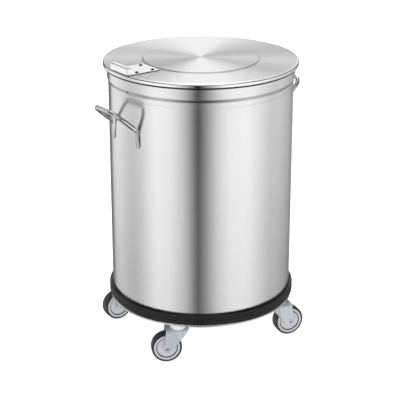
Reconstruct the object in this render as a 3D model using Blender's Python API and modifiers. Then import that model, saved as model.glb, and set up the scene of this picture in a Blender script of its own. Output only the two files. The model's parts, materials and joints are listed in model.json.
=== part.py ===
# Wheeled waste container: a stainless drum with a lift-off lid, standing on four swivel castors.
# Metres, +Z up. The origin is on the floor under the drum's axis, and the loop handles lie along X.
import math

import bmesh
import bpy
from mathutils import Matrix, Vector

# Fits
SEAT_GAP = 0.0003
RUN_GAP = 0.00035

# Drum
DRUM_RADIUS = 0.190
DRUM_HEIGHT = 0.5067
DRUM_WALL = 0.0010
DRUM_FLOOR = 0.0015
FLOOR_FILLET = 0.012
FLOOR_CLEARANCE = 0.002
BEAD_RADIUS = 0.0027
COLLAR_BULGE = 0.0025
COLLAR_HEIGHT = 0.0325
COLLAR_STEP = 0.0060
BAND_BULGE = 0.0011
BAND_HEIGHT = 0.0110
BAND_STEP = 0.0030

# Lid
LID_OVERHANG = 0.010
LID_SHEET = 0.0012
LID_EDGE = 0.010
LID_EDGE_ROUND = 0.003
LID_HEM = 0.0006
DISC_RADIUS = 0.121
DISC_RISE = 0.0024
DISC_STEP = 0.0035
DISC_CROWN = 0.0010

# Hook bracket on the lid
HOOK_WIDTH = 0.060
HOOK_SHEET = 0.0015
HOOK_HEIGHT = 0.0155
HOOK_LIP = 0.0095
HOOK_EDGE_INSET = 0.0010
HOOK_DISC_GAP = 0.0012
HOOK_CORNER = 0.003
RIVET_SPREAD = 0.042
RIVET_INNER = 0.011
RIVET_PITCH = 0.037
RIVET_RADIUS = 0.0014
RIVET_HEAD = 0.0026
RIVET_HEAD_HEIGHT = 0.0010
CUT_LENGTH = 0.02

# Loop handles
HANDLE_ROD = 0.0043
HANDLE_SPAN = 0.088
HANDLE_REACH = 0.045
HANDLE_TILT = 49.0
HANDLE_BEND = 0.010
HANDLE_CORNER = 0.026
HANDLE_FOOT = 0.034
HANDLE_FOOT_WIDTH = 0.0052
HANDLE_FOOT_DEPTH = 0.0024
HANDLE_FOOT_FLAT = 0.016
HANDLE_DROP = 0.145

# Base plate and bumper ring
PLATE_SHEET = 0.0015
PLATE_MARGIN = 0.0045
PLATE_LIP = 0.0050
PLATE_BEND = 0.0012
BUMPER_THICKNESS = 0.0066
BUMPER_HEIGHT = 0.0225
BUMPER_ROUND = 0.0020
GROOVE_DEPTH = 0.0010
GROOVE_HEIGHT = 0.0022
GROOVE_PITCH = 0.006

# Castors
CASTOR_INSET = 0.0185
CASTOR_ANGLE = 218.0
CASTOR_TRAILS = (152.0, 345.0, 20.0, 174.0)
WHEEL_RADIUS = 0.032
WHEEL_WIDTH = 0.0215
TYRE_THICKNESS = 0.0034
TYRE_SHOULDER = 0.0035
RIM_WIDTH = 0.0042
RIM_GROOVE = 0.0030
RIM_GROOVE_DEPTH = 0.0045
DISH_DEPTH = 0.0012
TRAIL = 0.024
WHEEL_SIDE_GAP = 0.0022
CROWN_CLEARANCE = 0.006
FORK_SHEET = 0.0025
FORK_BEND = 0.0030
FORK_FRONT = 0.0205
FORK_RIM = 0.0045
LEG_END = 0.0085
LEG_FOOT_TURN = 135.0
LEG_WRAP = 58.0
AXLE_RADIUS = 0.0031
AXLE_HEAD = 0.0052
AXLE_HEAD_HEIGHT = 0.0016
SLEEVE_WALL = 0.0016
BALL_RADIUS = 0.003
BALL_CIRCLE = 0.0115
BALL_COUNT = 8
CAGE_SHARE = 0.4
CUP_RADIUS = 0.0195
CUP_SHEET = 0.002
CUP_ROUND = 0.003
CUP_SKIRT_GAP = 0.0012
CUP_COLLAR_WALL = 0.0022
CUP_COLLAR_HEIGHT = 0.0086
KINGPIN_RADIUS = 0.006
KINGPIN_FLANGE = 0.009
KINGPIN_FLANGE_HEIGHT = 0.0018
BOLT_RADIUS = 0.004
BOLT_HEAD_WIDTH = 0.013
BOLT_HEAD_HEIGHT = 0.0052
BOLT_TIP = 0.002
NUT_HEIGHT = 0.0065
HOLE_CLEARANCE = 0.0005

# Facets round a full turn
SIDES_DRUM = 36
SIDES_WHEEL = 20
SIDES_CUP = 16
SIDES_PIN = 12
SIDES_RIVET = 8
SIDES_BALL = 5

# Heights, stacked up from the floor
AXLE_Z = WHEEL_RADIUS
CROWN_UNDER = 2 * WHEEL_RADIUS + CROWN_CLEARANCE
CROWN_TOP = CROWN_UNDER + FORK_SHEET
BALL_Z = CROWN_TOP + SEAT_GAP + BALL_RADIUS
TRACK_UNDER = BALL_Z + BALL_RADIUS + SEAT_GAP
TRACK_TOP = TRACK_UNDER + CUP_SHEET
CUP_TOP = TRACK_TOP + CUP_COLLAR_HEIGHT
PLATE_UNDER = CUP_TOP + SEAT_GAP
PLATE_TOP = PLATE_UNDER + PLATE_SHEET
NUT_UNDER = PLATE_TOP + SEAT_GAP
BOLT_END = NUT_UNDER + NUT_HEIGHT + BOLT_TIP
DRUM_FOOT = PLATE_TOP + SEAT_GAP
FLOOR_UNDER = BOLT_END + FLOOR_CLEARANCE
FLOOR_TOP = FLOOR_UNDER + DRUM_FLOOR
DRUM_TOP = DRUM_FOOT + DRUM_HEIGHT
LID_UNDER = DRUM_TOP + SEAT_GAP
LID_TOP = LID_UNDER + LID_SHEET

# Radii worked out from the drum
LID_RADIUS = DRUM_RADIUS + LID_OVERHANG
PLATE_RADIUS = DRUM_RADIUS + PLATE_MARGIN
CASTOR_CIRCLE = DRUM_RADIUS - CASTOR_INSET
CORE_RADIUS = WHEEL_RADIUS - TYRE_THICKNESS - SEAT_GAP
SLEEVE_BORE = AXLE_RADIUS + SEAT_GAP
SLEEVE_RADIUS = SLEEVE_BORE + SLEEVE_WALL
FORK_INSIDE = WHEEL_WIDTH / 2 + WHEEL_SIDE_GAP
FORK_OUTSIDE = FORK_INSIDE + FORK_SHEET

STEEL = (0.62, 0.63, 0.64, 1.0)
RIVET_GREY = (0.20, 0.20, 0.21, 1.0)
ZINC = (0.55, 0.58, 0.61, 1.0)
RUBBER = (0.018, 0.018, 0.021, 1.0)
TYRE_GREY = (0.045, 0.047, 0.050, 1.0)
WHEEL_GREY = (0.56, 0.57, 0.61, 1.0)


def clear_scene():
    for item in list(bpy.data.objects):
        bpy.data.objects.remove(item, do_unlink=True)


def new_collection(name):
    group = bpy.data.collections.new(name)
    bpy.context.scene.collection.children.link(group)
    return group


def add_object(name, mesh, group, parent=None):
    item = bpy.data.objects.new(name, mesh)
    group.objects.link(item)
    item.parent = parent
    return item


def add_empty(name, location, turn=0.0, tilt=0.0, parent=None):
    item = add_object(name, None, PARTS, parent)
    item.location = location
    item.rotation_euler = (tilt, 0.0, turn)
    return item


def paint(item, colour, roughness, metallic):
    surface = bpy.data.materials.new(item.name)
    surface.use_nodes = True
    shader = surface.node_tree.nodes["Principled BSDF"]
    shader.inputs["Base Color"].default_value = colour
    shader.inputs["Roughness"].default_value = roughness
    shader.inputs["Metallic"].default_value = metallic
    item.data.materials.append(surface)
    item.data.shade_smooth()
    item.data.set_sharp_from_angle(angle=math.radians(35))
    item.modifiers.new("shade", "WEIGHTED_NORMAL")


def arc(centre, radius, start, end, count):
    # points on a circle in the profile plane, angles in degrees
    points = []
    for i in range(count + 1):
        angle = math.radians(start + (end - start) * i / count)
        points.append((centre[0] + radius * math.cos(angle), centre[1] + radius * math.sin(angle)))
    return points


def turned(name, outline, sides, group, parent=None, closed=True):
    # a profile of radius and height swept round Z; an open one starts and ends on the axis
    mesh = bpy.data.meshes.new(name)
    points = [(radius, 0.0, height) for radius, height in outline]
    links = [(i, i + 1) for i in range(len(points) - 1)]
    if closed:
        links.append((len(points) - 1, 0))
    mesh.from_pydata(points, links, [])
    item = add_object(name, mesh, group, parent)
    sweep = item.modifiers.new("turn", "SCREW")
    sweep.steps = sides
    sweep.render_steps = sides
    sweep.use_merge_vertices = True
    sweep.merge_threshold = 0.00001
    sweep.use_smooth_shade = True
    return item


def lofted(rings, closed=False):
    # skins a row of rings with equal counts; an open row is capped at both ends
    mesh = bpy.data.meshes.new("loft")
    build = bmesh.new()
    rows = [[build.verts.new(point) for point in ring] for ring in rings]
    count = len(rows[0])
    pairs = list(zip(rows, rows[1:]))
    if closed:
        pairs.append((rows[-1], rows[0]))
    for lower, upper in pairs:
        for i in range(count):
            j = (i + 1) % count
            build.faces.new((lower[i], lower[j], upper[j], upper[i]))
    if not closed:
        build.faces.new(rows[0])
        build.faces.new(rows[-1])
    bmesh.ops.recalc_face_normals(build, faces=build.faces[:])
    build.to_mesh(mesh)
    build.free()
    return mesh


def pin_cutter(name, pins, parent=None):
    # one cutter made of upright or lying pins: radius, length, matrix
    build = bmesh.new()
    for radius, length, matrix in pins:
        bmesh.ops.create_cone(build, cap_ends=True, segments=SIDES_PIN, radius1=radius, radius2=radius,
                              depth=length, matrix=matrix)
    mesh = bpy.data.meshes.new(name)
    build.to_mesh(mesh)
    build.free()
    item = add_object(name, mesh, CUTTERS, parent)
    item.hide_render = True
    item.display_type = "WIRE"
    return item


def cut(item, cutter):
    step = item.modifiers.new("cut_" + cutter.name, "BOOLEAN")
    step.operation = "DIFFERENCE"
    step.solver = "EXACT"
    step.object = cutter


def thicken(item, sheet):
    # gives an open surface its sheet thickness, inward from the drawn face
    step = item.modifiers.new("sheet", "SOLIDIFY")
    step.thickness = sheet
    step.offset = -1.0
    step.use_even_offset = True


def ring_points(radius, height, sides):
    points = []
    for i in range(sides):
        angle = 2 * math.pi * i / sides
        points.append((radius * math.cos(angle), radius * math.sin(angle), height))
    return points


def hexagon_points(width, height, sides):
    # a hexagon across flats, with as many points as the round ring it joins
    points = []
    for i in range(sides):
        angle = 2 * math.pi * i / sides
        off_flat = (angle + math.pi / 6) % (math.pi / 3) - math.pi / 6
        radius = width / 2 / math.cos(off_flat)
        points.append((radius * math.cos(angle), radius * math.sin(angle), height))
    return points


def castor_place(index):
    angle = math.radians(CASTOR_ANGLE + 90.0 * index)
    return Vector((CASTOR_CIRCLE * math.cos(angle), CASTOR_CIRCLE * math.sin(angle), 0.0))


def make_drum():
    inside = DRUM_RADIUS - DRUM_WALL
    collar_end = DRUM_TOP - COLLAR_HEIGHT
    band_start = collar_end - COLLAR_STEP
    band_end = band_start - BAND_HEIGHT
    wall_start = band_end - BAND_STEP
    bead = (inside + COLLAR_BULGE + BEAD_RADIUS, DRUM_TOP - BEAD_RADIUS)
    tuck = math.degrees(math.acos((BEAD_RADIUS - DRUM_WALL) / BEAD_RADIUS)) - 180
    outline = [(0.0, FLOOR_TOP)]
    outline += arc((inside - FLOOR_FILLET, FLOOR_TOP + FLOOR_FILLET), FLOOR_FILLET, -90, 0, 3)
    outline += [(inside, wall_start), (inside + BAND_BULGE, band_end)]
    outline += [(inside + BAND_BULGE, band_start), (inside + COLLAR_BULGE, collar_end)]
    outline += arc(bead, BEAD_RADIUS, 180, tuck, 6)
    outline += [(DRUM_RADIUS + COLLAR_BULGE, collar_end), (DRUM_RADIUS + BAND_BULGE, band_start)]
    outline += [(DRUM_RADIUS + BAND_BULGE, band_end), (DRUM_RADIUS, wall_start)]
    outline += [(DRUM_RADIUS, DRUM_FOOT), (inside, DRUM_FOOT), (inside, FLOOR_UNDER), (0.0, FLOOR_UNDER)]
    drum = turned("container_body", outline, SIDES_DRUM, PARTS, closed=False)
    paint(drum, STEEL, 0.28, 1.0)


def rivet_places():
    inner = DISC_RADIUS + HOOK_DISC_GAP + RIVET_INNER
    places = []
    for reach in (inner, inner + RIVET_PITCH):
        for side in (-1, 1):
            places.append(Vector((-reach, side * RIVET_SPREAD / 2, 0.0)))
    return places


def rivet_cutter(name):
    pins = []
    for place in rivet_places():
        centre = place + Vector((0.0, 0.0, LID_TOP))
        pins.append((RIVET_RADIUS + SEAT_GAP, CUT_LENGTH, Matrix.Translation(centre)))
    return pin_cutter(name, pins)


def make_lid():
    inside = LID_RADIUS - LID_SHEET
    step_top = DISC_RADIUS - DISC_STEP
    edge = (LID_RADIUS - LID_EDGE_ROUND, LID_TOP - LID_EDGE_ROUND)
    skirt_end = LID_TOP - LID_EDGE
    disc_top = LID_TOP + DISC_RISE
    outline = [(0.0, disc_top + DISC_CROWN), (step_top, disc_top), (DISC_RADIUS, LID_TOP)]
    outline += arc(edge, LID_EDGE_ROUND, 90, 0, 3)
    outline += [(LID_RADIUS, skirt_end + LID_HEM), (LID_RADIUS - LID_HEM, skirt_end)]
    outline += [(inside, skirt_end + LID_HEM)]
    outline += arc(edge, LID_EDGE_ROUND - LID_SHEET, 0, 90, 2)
    outline += [(DISC_RADIUS, LID_UNDER), (step_top, disc_top - LID_SHEET)]
    outline += [(0.0, disc_top + DISC_CROWN - LID_SHEET)]
    lid = turned("lid", outline, SIDES_DRUM, PARTS, closed=False)
    cut(lid, rivet_cutter("lid_rivet_holes"))
    paint(lid, STEEL, 0.26, 1.0)


def make_hook():
    # bent strip: flat on the lid, up at the edge, folded back in over it; the line is its outer face
    near = DISC_RADIUS + HOOK_DISC_GAP
    far = LID_RADIUS - HOOK_EDGE_INSET
    low = LID_TOP + SEAT_GAP
    high = low + HOOK_HEIGHT
    bend = HOOK_CORNER
    line = [(near, low)]
    line += arc((far - bend, low + bend), bend, -90, 0, 3)
    line += arc((far - bend, high - bend), bend, 0, 90, 3)
    line += [(far - HOOK_LIP, high)]
    build = bmesh.new()
    rows = []
    for reach, height in line:
        rows.append([build.verts.new((-reach, side * HOOK_WIDTH / 2, height)) for side in (-1, 1)])
    for lower, upper in zip(rows, rows[1:]):
        build.faces.new((lower[0], upper[0], upper[1], lower[1]))
    mesh = bpy.data.meshes.new("lid_hook")
    build.to_mesh(mesh)
    build.free()
    hook = add_object("lid_hook", mesh, PARTS)
    thicken(hook, HOOK_SHEET)
    cut(hook, rivet_cutter("hook_rivet_holes"))
    paint(hook, STEEL, 0.30, 1.0)


def make_rivets():
    top = LID_TOP + SEAT_GAP + HOOK_SHEET + SEAT_GAP
    low = LID_UNDER - SEAT_GAP
    rise = RIVET_HEAD_HEIGHT
    outline = [(0.0, top + rise), (RIVET_HEAD - rise, top + rise), (RIVET_HEAD, top)]
    outline += [(RIVET_RADIUS, top), (RIVET_RADIUS, low), (RIVET_HEAD, low)]
    outline += [(RIVET_HEAD - rise, low - rise), (0.0, low - rise)]
    for number, place in enumerate(rivet_places(), start=1):
        rivet = turned("lid_hook_rivet_%d" % number, outline, SIDES_RIVET, PARTS, closed=False)
        rivet.location = place
        paint(rivet, RIVET_GREY, 0.35, 1.0)


def handle_route():
    # up the wall, bent out along the slope, round the corner to the middle, then mirrored back;
    # each point carries how far the rod is flattened there
    seat = DRUM_RADIUS + SEAT_GAP
    half = HANDLE_SPAN / 2
    foot_low = DRUM_TOP - HANDLE_DROP
    foot_high = foot_low + HANDLE_FOOT
    flat_reach = math.sqrt((seat + HANDLE_FOOT_DEPTH) ** 2 - half ** 2)
    rod_reach = math.sqrt((seat + HANDLE_ROD) ** 2 - half ** 2)
    tilt = math.radians(HANDLE_TILT)
    side = [(Vector((flat_reach, half, foot_low)), 1.0)]
    side.append((Vector((flat_reach, half, foot_low + HANDLE_FOOT_FLAT)), 1.0))
    for i in range(4):
        angle = tilt * i / 3
        reach = rod_reach + HANDLE_BEND * (1 - math.cos(angle))
        side.append((Vector((reach, half, foot_high + HANDLE_BEND * math.sin(angle))), 0.0))
    start = side[-1][0]
    slope = Vector((math.sin(tilt), 0.0, math.cos(tilt)))
    length = (rod_reach + HANDLE_REACH - start.x) / slope.x
    for i in range(5):
        angle = math.pi / 2 * i / 4
        spot = start + slope * (length - HANDLE_CORNER * (1 - math.sin(angle)))
        side.append((Vector((spot.x, half - HANDLE_CORNER * (1 - math.cos(angle)), spot.z)), 0.0))
    other = [(Vector((point.x, -point.y, point.z)), flat) for point, flat in reversed(side)]
    return side + other


def make_handles():
    route = handle_route()
    spots = [point for point, flat in route]
    wide = Vector((0.0, 1.0, 0.0))
    before = (spots[1] - spots[0]).normalized()
    rings = []
    for i, (point, flat) in enumerate(route):
        ahead = spots[min(i + 1, len(spots) - 1)] - point
        behind = point - spots[max(i - 1, 0)]
        along = (ahead.normalized() + behind.normalized()).normalized()
        wide = before.rotation_difference(along) @ wide
        before = along
        deep = along.cross(wide)
        width = HANDLE_ROD + (HANDLE_FOOT_WIDTH - HANDLE_ROD) * flat
        depth = HANDLE_ROD + (HANDLE_FOOT_DEPTH - HANDLE_ROD) * flat
        ring = []
        for j in range(SIDES_RIVET):
            angle = 2 * math.pi * j / SIDES_RIVET
            ring.append(point + wide * width * math.cos(angle) + deep * depth * math.sin(angle))
        rings.append(ring)
    for name, turn in (("handle_right", 0.0), ("handle_left", math.pi)):
        handle = add_object(name, lofted(rings), PARTS)
        handle.rotation_euler = (0.0, 0.0, turn)
        paint(handle, STEEL, 0.22, 1.0)


def make_base():
    # flat plate with its edge bent down over the castors
    inside = PLATE_RADIUS - PLATE_SHEET
    low = PLATE_UNDER - PLATE_LIP + PLATE_SHEET
    bend = (inside - PLATE_BEND, PLATE_UNDER - PLATE_BEND)
    outline = [(0.0, PLATE_TOP)]
    outline += arc(bend, PLATE_BEND + PLATE_SHEET, 90, 0, 3)
    outline += [(PLATE_RADIUS, low), (inside, low)]
    outline += arc(bend, PLATE_BEND, 0, 90, 2)
    outline += [(0.0, PLATE_UNDER)]
    plate = turned("base_plate", outline, SIDES_DRUM, PARTS, closed=False)
    pins = []
    for i in range(4):
        centre = castor_place(i) + Vector((0.0, 0.0, PLATE_TOP))
        pins.append((BOLT_RADIUS + HOLE_CLEARANCE, CUT_LENGTH, Matrix.Translation(centre)))
    cut(plate, pin_cutter("plate_bolt_holes", pins))
    paint(plate, STEEL, 0.30, 1.0)


def make_bumper():
    inner = DRUM_RADIUS + SEAT_GAP
    outer = inner + BUMPER_THICKNESS
    low = PLATE_TOP + SEAT_GAP
    high = low + BUMPER_HEIGHT
    outline = arc((outer - BUMPER_ROUND, high - BUMPER_ROUND), BUMPER_ROUND, 90, 0, 2)
    for offset in (GROOVE_PITCH / 2, -GROOVE_PITCH / 2):
        middle = low + BUMPER_HEIGHT / 2 + offset
        outline.append((outer, middle + GROOVE_HEIGHT / 2))
        outline.append((outer - GROOVE_DEPTH, middle))
        outline.append((outer, middle - GROOVE_HEIGHT / 2))
    outline += arc((outer - BUMPER_ROUND, low + BUMPER_ROUND), BUMPER_ROUND, 0, -90, 1)
    outline += [(inner, low), (inner, high)]
    bumper = turned("bumper_ring", outline, SIDES_DRUM, PARTS)
    paint(bumper, RUBBER, 0.55, 0.0)


def make_bolt(name, parent):
    # the head bears up against the kingpin, and the nut clamps the plate on the cup
    head_top = CROWN_UNDER - 2 * SEAT_GAP - KINGPIN_FLANGE_HEIGHT
    head_low = head_top - BOLT_HEAD_HEIGHT
    bolt = lofted([
        hexagon_points(BOLT_HEAD_WIDTH, head_low, SIDES_PIN),
        hexagon_points(BOLT_HEAD_WIDTH, head_top, SIDES_PIN),
        ring_points(BOLT_RADIUS, head_top, SIDES_PIN),
        ring_points(BOLT_RADIUS, BOLT_END, SIDES_PIN)])
    bore = BOLT_RADIUS + HOLE_CLEARANCE
    nut_top = NUT_UNDER + NUT_HEIGHT
    nut = lofted([
        hexagon_points(BOLT_HEAD_WIDTH, NUT_UNDER, SIDES_PIN),
        hexagon_points(BOLT_HEAD_WIDTH, nut_top, SIDES_PIN),
        ring_points(bore, nut_top, SIDES_PIN),
        ring_points(bore, NUT_UNDER, SIDES_PIN)], closed=True)
    paint(add_object(name + "bolt", bolt, PARTS, parent), ZINC, 0.35, 1.0)
    paint(add_object(name + "nut", nut, PARTS, parent), ZINC, 0.35, 1.0)


def make_balls(name, parent):
    # balls in their cage: a ring that swells to each ball and narrows to the cage between
    rings = []
    steps = 2 * BALL_COUNT
    for i in range(steps):
        angle = 2 * math.pi * i / steps
        swell = (1.0, CAGE_SHARE)[i % 2] * BALL_RADIUS
        ring = []
        for j in range(SIDES_BALL):
            turn = 2 * math.pi * j / SIDES_BALL + math.pi / 2
            reach = BALL_CIRCLE + swell * math.cos(turn)
            ring.append((reach * math.cos(angle), reach * math.sin(angle), BALL_Z + swell * math.sin(turn)))
        rings.append(ring)
    balls = add_object(name, lofted(rings, closed=True), PARTS, parent)
    paint(balls, STEEL, 0.15, 1.0)


def fork_columns():
    # the sheet's edge as x, y and lower end: round a leg's foot, up the slant, round the front
    columns = []
    for i in range(5):
        angle = math.radians(LEG_FOOT_TURN * i / 4)
        columns.append((TRAIL + LEG_END * math.cos(angle), FORK_OUTSIDE, AXLE_Z - LEG_END * math.sin(angle)))
    foot_x, foot_y, foot_z = columns[-1]
    shallow = CROWN_TOP - FORK_RIM
    wrap = math.radians(LEG_WRAP)
    run = foot_x + FORK_FRONT * wrap
    for i in range(1, 3):
        gone = foot_x * i / 2
        columns.append((foot_x - gone, FORK_OUTSIDE, foot_z + (shallow - foot_z) * gone / run))
    for i in range(1, 4):
        angle = wrap * i / 3
        gone = foot_x + FORK_FRONT * angle
        columns.append((-FORK_FRONT * math.sin(angle), FORK_OUTSIDE * math.cos(angle),
                        foot_z + (shallow - foot_z) * gone / run))
    angle = (wrap + math.pi / 2) / 2
    columns.append((-FORK_FRONT * math.sin(angle), FORK_OUTSIDE * math.cos(angle), shallow))
    front = (-FORK_FRONT, 0.0, shallow)
    return columns + [front] + [(x, -y, z) for x, y, z in reversed(columns)]


def make_fork(name, parent):
    # pressed sheet: a flat crown with a skirt that deepens into the two legs
    build = bmesh.new()
    upper = []
    lower = []
    for x, y, z in fork_columns():
        upper.append(build.verts.new((x, y, CROWN_TOP)))
        lower.append(build.verts.new((x, y, z)))
    for i in range(len(upper) - 1):
        build.faces.new((upper[i], lower[i], lower[i + 1], upper[i + 1]))
    build.faces.new(upper)
    bmesh.ops.recalc_face_normals(build, faces=build.faces[:])
    mesh = bpy.data.meshes.new(name)
    build.to_mesh(mesh)
    build.free()
    fork = add_object(name, mesh, PARTS, parent)
    fold = fork.modifiers.new("fold", "BEVEL")
    fold.width = FORK_BEND
    fold.segments = 1
    fold.limit_method = "ANGLE"
    fold.angle_limit = math.radians(60)
    thicken(fork, FORK_SHEET)
    hole = (KINGPIN_RADIUS + RUN_GAP, CUT_LENGTH, Matrix.Translation((0.0, 0.0, CROWN_TOP)))
    lying = Matrix.Translation((TRAIL, 0.0, AXLE_Z)) @ Matrix.Rotation(math.pi / 2, 4, "X")
    bore = (AXLE_RADIUS + SEAT_GAP, 4 * FORK_OUTSIDE, lying)
    cut(fork, pin_cutter(name + "_holes", [hole, bore], parent))
    paint(fork, ZINC, 0.38, 1.0)


def make_castor(index):
    name = "castor_%d_" % (index + 1)
    place = castor_place(index)
    head = add_empty(name + "head", place)
    swivel = add_empty(name + "swivel", place, turn=math.radians(CASTOR_TRAILS[index]))
    roll = add_empty(name + "roll", (TRAIL, 0.0, AXLE_Z), tilt=math.pi / 2, parent=swivel)

    bore = KINGPIN_RADIUS + RUN_GAP
    collar = bore + CUP_COLLAR_WALL
    skirt = CUP_RADIUS - CUP_SHEET
    low = CROWN_TOP + CUP_SKIRT_GAP
    soft = CUP_ROUND / 2
    cup = turned(name + "cup", [
        (bore, CUP_TOP), (collar, CUP_TOP), (collar, TRACK_TOP), (CUP_RADIUS - CUP_ROUND, TRACK_TOP),
        (CUP_RADIUS, TRACK_TOP - CUP_ROUND), (CUP_RADIUS, low), (skirt, low), (skirt, TRACK_UNDER - soft),
        (skirt - soft, TRACK_UNDER), (bore, TRACK_UNDER)], SIDES_CUP, PARTS, head)
    paint(cup, ZINC, 0.35, 1.0)

    flange_top = CROWN_UNDER - SEAT_GAP
    flange_low = flange_top - KINGPIN_FLANGE_HEIGHT
    inside = BOLT_RADIUS + HOLE_CLEARANCE
    kingpin = turned(name + "kingpin", [
        (inside, CUP_TOP), (KINGPIN_RADIUS, CUP_TOP), (KINGPIN_RADIUS, flange_top), (KINGPIN_FLANGE, flange_top),
        (KINGPIN_FLANGE, flange_low), (inside, flange_low)], SIDES_PIN, PARTS, head)
    paint(kingpin, ZINC, 0.4, 1.0)

    make_bolt(name, head)
    make_balls(name + "balls", swivel)
    make_fork(name + "fork", swivel)

    half = FORK_OUTSIDE + SEAT_GAP
    end = half + AXLE_HEAD_HEIGHT
    axle = turned(name + "axle", [
        (0.0, end), (AXLE_HEAD - AXLE_HEAD_HEIGHT, end), (AXLE_HEAD, half), (AXLE_RADIUS, half),
        (AXLE_RADIUS, -half), (AXLE_HEAD, -half), (AXLE_HEAD - AXLE_HEAD_HEIGHT, -end), (0.0, -end)],
        SIDES_PIN, PARTS, roll, closed=False)
    paint(axle, ZINC, 0.35, 1.0)

    half = FORK_INSIDE - SEAT_GAP
    sleeve = turned(name + "sleeve", [
        (SLEEVE_BORE, half), (SLEEVE_RADIUS, half), (SLEEVE_RADIUS, -half), (SLEEVE_BORE, -half)],
        SIDES_PIN, PARTS, roll)
    paint(sleeve, ZINC, 0.35, 1.0)

    # half section of the wheel centre: rim, groove and raised disc with its bore, mirrored about the middle
    face = WHEEL_WIDTH / 2
    groove_out = CORE_RADIUS - RIM_WIDTH
    groove_in = groove_out - RIM_GROOVE
    floor = face - RIM_GROOVE_DEPTH
    bore = SLEEVE_RADIUS + RUN_GAP
    upper = [(bore, face), (groove_in, face - DISH_DEPTH), (groove_in, floor), (groove_out, floor),
             (groove_out, face), (CORE_RADIUS, face)]
    lower = [(radius, -height) for radius, height in reversed(upper)]
    wheel = turned(name + "wheel", upper + lower, SIDES_WHEEL, PARTS, roll)
    paint(wheel, WHEEL_GREY, 0.45, 0.0)

    inner = CORE_RADIUS + SEAT_GAP
    upper = [(inner, face), (WHEEL_RADIUS - TYRE_SHOULDER / 2, face), (WHEEL_RADIUS, face - TYRE_SHOULDER)]
    lower = [(radius, -height) for radius, height in reversed(upper)]
    tyre = turned(name + "tyre", upper + lower, SIDES_WHEEL, PARTS, roll)
    paint(tyre, TYRE_GREY, 0.6, 0.0)


clear_scene()
PARTS = new_collection("wheeled_waste_container")
CUTTERS = new_collection("cutters")
make_drum()
make_lid()
make_hook()
make_rivets()
make_handles()
make_base()
make_bumper()
for number in range(4):
    make_castor(number)
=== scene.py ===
import json
import math

import bpy
import numpy as np
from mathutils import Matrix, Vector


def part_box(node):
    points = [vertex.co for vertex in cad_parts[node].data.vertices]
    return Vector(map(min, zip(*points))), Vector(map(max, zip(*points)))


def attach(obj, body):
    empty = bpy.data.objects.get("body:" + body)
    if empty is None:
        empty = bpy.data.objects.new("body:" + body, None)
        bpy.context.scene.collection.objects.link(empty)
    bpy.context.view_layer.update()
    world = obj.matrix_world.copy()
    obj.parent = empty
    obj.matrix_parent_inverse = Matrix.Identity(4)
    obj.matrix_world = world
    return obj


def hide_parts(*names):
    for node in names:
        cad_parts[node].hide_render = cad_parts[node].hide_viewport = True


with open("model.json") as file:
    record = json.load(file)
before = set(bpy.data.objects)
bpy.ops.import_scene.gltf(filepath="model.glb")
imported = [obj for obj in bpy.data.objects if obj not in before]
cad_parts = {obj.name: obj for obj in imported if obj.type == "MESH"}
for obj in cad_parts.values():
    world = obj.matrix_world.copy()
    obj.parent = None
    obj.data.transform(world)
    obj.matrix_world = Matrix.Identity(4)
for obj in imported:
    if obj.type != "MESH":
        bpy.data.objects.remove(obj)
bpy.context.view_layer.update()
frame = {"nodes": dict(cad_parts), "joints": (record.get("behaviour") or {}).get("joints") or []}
jointAt = {joint["name"]: np.array(joint["pos_m"]) for joint in frame["joints"] if "pos_m" in joint}
print("frame loaded,", len(frame["nodes"]), "nodes")


# Shapes: every piece is a grid of points, rows along a profile or path and columns round it

def unit(vectors):
    # each vector divided by its length
    return vectors / np.linalg.norm(vectors, axis=-1, keepdims=True)


def roundedLine(corners, radii, steps):
    # each inner corner gives way to an arc tangent to its two runs: the centre lies on the bisector at
    # radius / sin(half the angle), and the arc turns evenly from one tangent point to the other
    corners = np.asarray(corners, float)
    straight = 1e-4
    runs = [corners[:1]]
    for before, corner, after, radius in zip(corners, corners[1:], corners[2:], radii):
        back, ahead = unit(before - corner), unit(after - corner)
        half = math.acos(np.clip(back @ ahead, -1, 1)) / 2
        turn = math.pi - 2 * half
        if radius == 0 or turn < straight:
            runs.append(corner[None])
            continue
        centre = corner + unit(back + ahead) * radius / math.sin(half)
        first = corner + back * radius / math.tan(half) - centre
        last = corner + ahead * radius / math.tan(half) - centre
        share = np.linspace(0, 1, steps + 1)[:, None]
        arc = np.sin((1 - share) * turn) * first + np.sin(share * turn) * last
        runs.append(centre + arc / math.sin(turn))
    runs.append(corners[-1:])
    return np.vstack(runs)


def together(*values):
    # the values of several arrays side by side, as the coordinates of points
    return np.stack(np.broadcast_arrays(*values), -1)


def fullTurn(sides):
    # evenly spaced angles once round
    return np.arange(sides) * 2 * math.pi / sides


def arcPoints(centre, radius, start, end, steps):
    # points on a circle: centre + radius times cosine and sine of evenly spaced angles, in degrees
    angle = np.radians(np.linspace(start, end, steps + 1))
    return together(centre[0] + radius * np.cos(angle), centre[1] + radius * np.sin(angle))


def mirroredHalf(upper):
    # a section's upper half followed by the same points backwards with the height turned over
    return np.vstack([upper[:-1], upper[::-1][:-1] * (1, -1)])


def turnedShape(profile, sides):
    # radius and height carried round the upright axis: (r cos t, r sin t, h); a profile that starts and
    # ends on the axis is closed there by poles, any other one is closed on itself
    profile = np.asarray(profile, float)
    turn = fullTurn(sides)
    radius, height = profile[:, 0, None], profile[:, 1, None]
    grid = together(radius * np.cos(turn), radius * np.sin(turn), height)
    if profile[0, 0] > 0:
        return dict(grid=grid, loop=True, ends=None)
    return dict(grid=grid[1:-1], loop=False, ends=np.stack([grid[0, 0], grid[-1, 0]]))


def turnedLine(line, sizes):
    # a line that ends where it starts, rounded and turned as the piece's dictionary says
    return turnedShape(roundedLine(line, sizes["rounds"], sizes["steps"])[:-1], sizes["sides"])


def drillShape(radius, reach):
    # a plain cylinder from reach above nought to reach below it
    drillSides = 32
    return turnedShape([(0, reach), (radius, reach), (radius, -reach), (0, -reach)], drillSides)


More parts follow.
